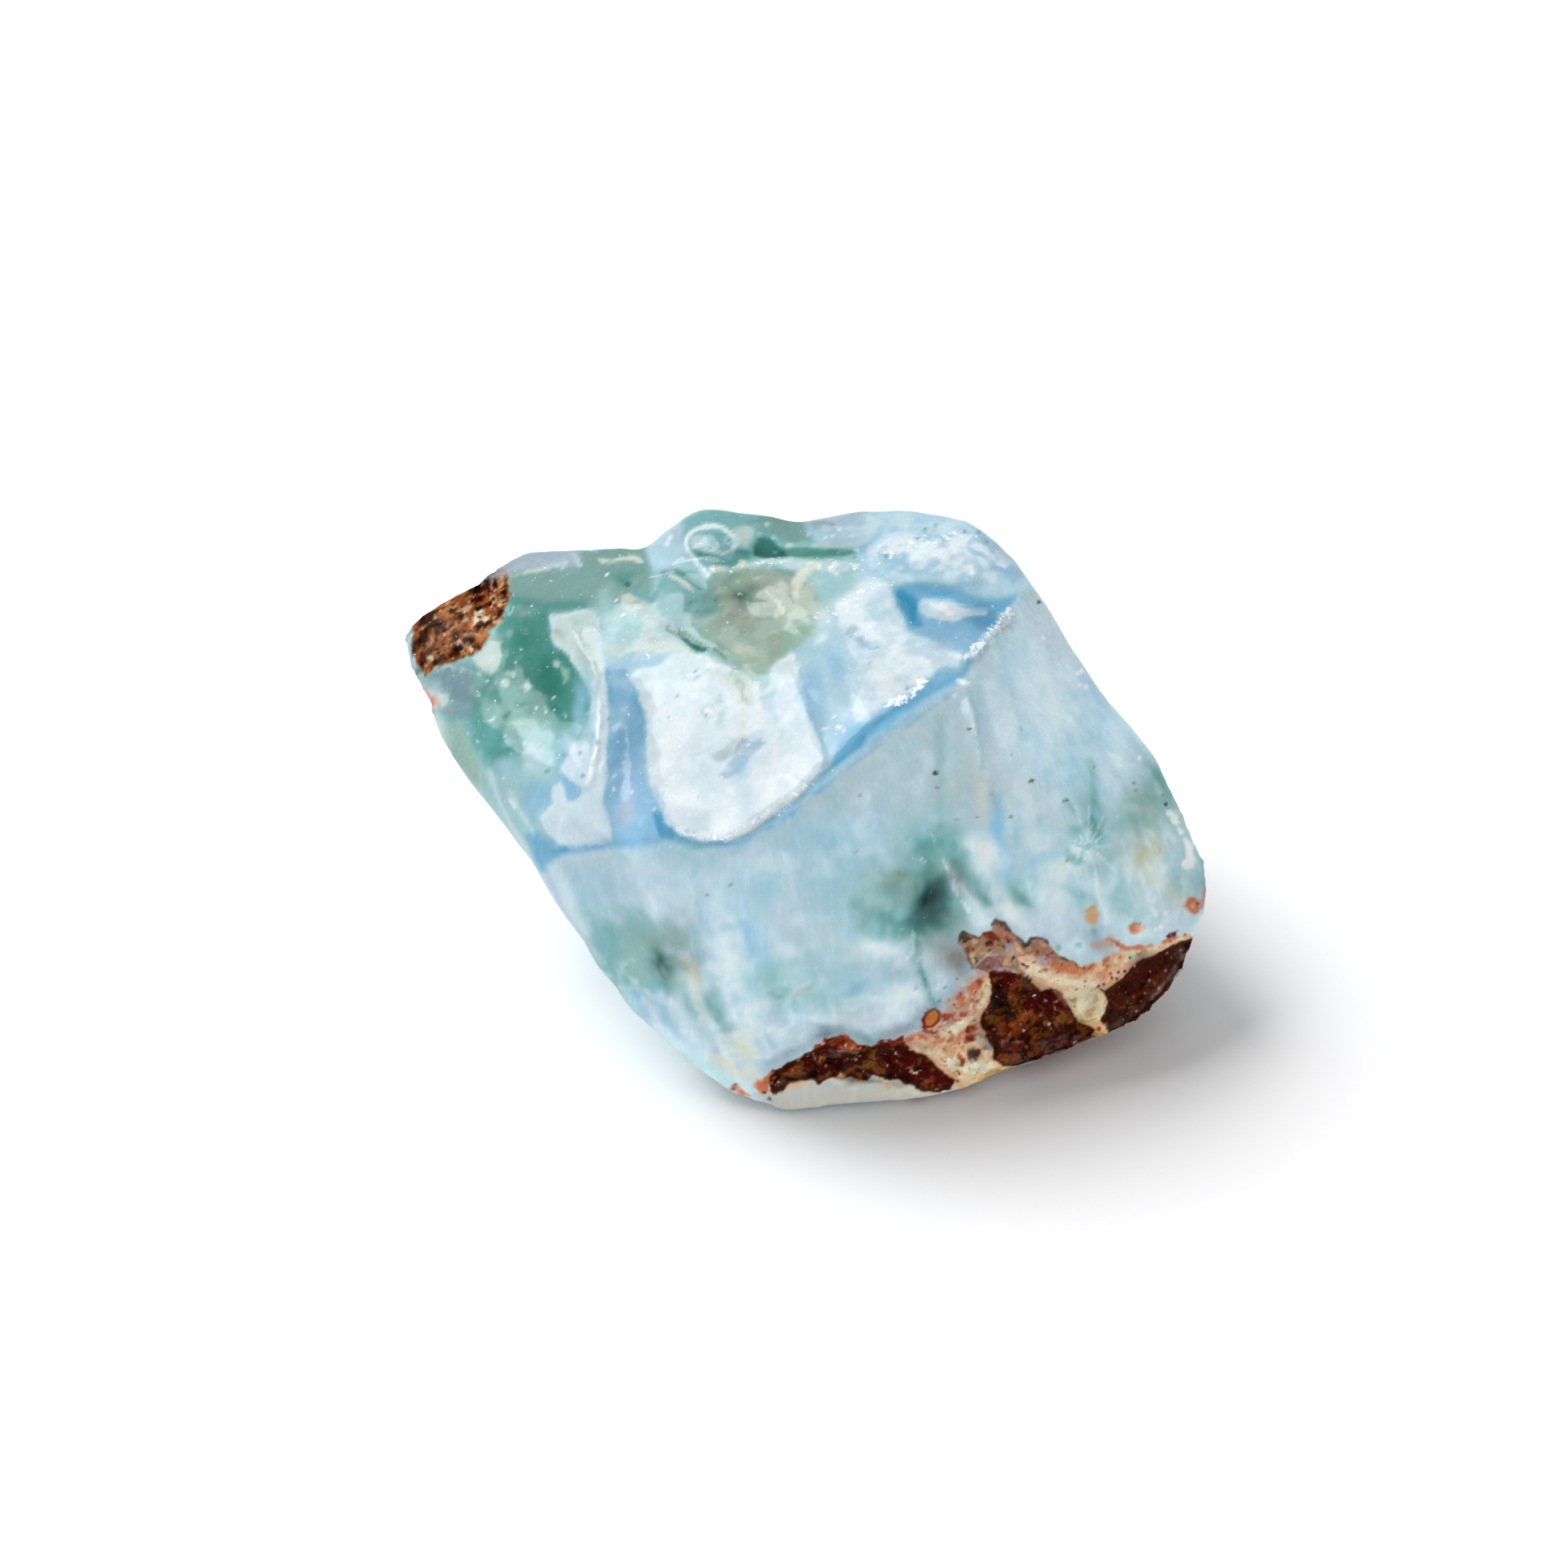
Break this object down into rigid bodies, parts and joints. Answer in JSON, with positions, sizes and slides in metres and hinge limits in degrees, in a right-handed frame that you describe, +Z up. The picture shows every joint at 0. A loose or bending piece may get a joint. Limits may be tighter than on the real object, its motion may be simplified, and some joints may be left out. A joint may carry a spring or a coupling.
{
  "type": "rough larimar",
  "caption": "Loose piece of rough larimar, pale blue with white, green and deep blue patches and brown host rock on two edges, resting on a small flat spot.",
  "frame": {"origin": "middle of the stone's box, on the plane that it rests on", "axes": "+X along the stone's length, to the right as the picture shows it; +Y away from the picture's viewer; +Z up"},
  "size_m": [0.049, 0.0336, 0.0278],
  "materials": {
    "larimar": "naturally broken and slightly worn, with a soft waxy shine on the blue mineral and a dull, pitted surface on the brown host rock"
  },
  "bodies": {
    "root": {"larimar_stone": "larimar"}
  },
  "joints": []
}
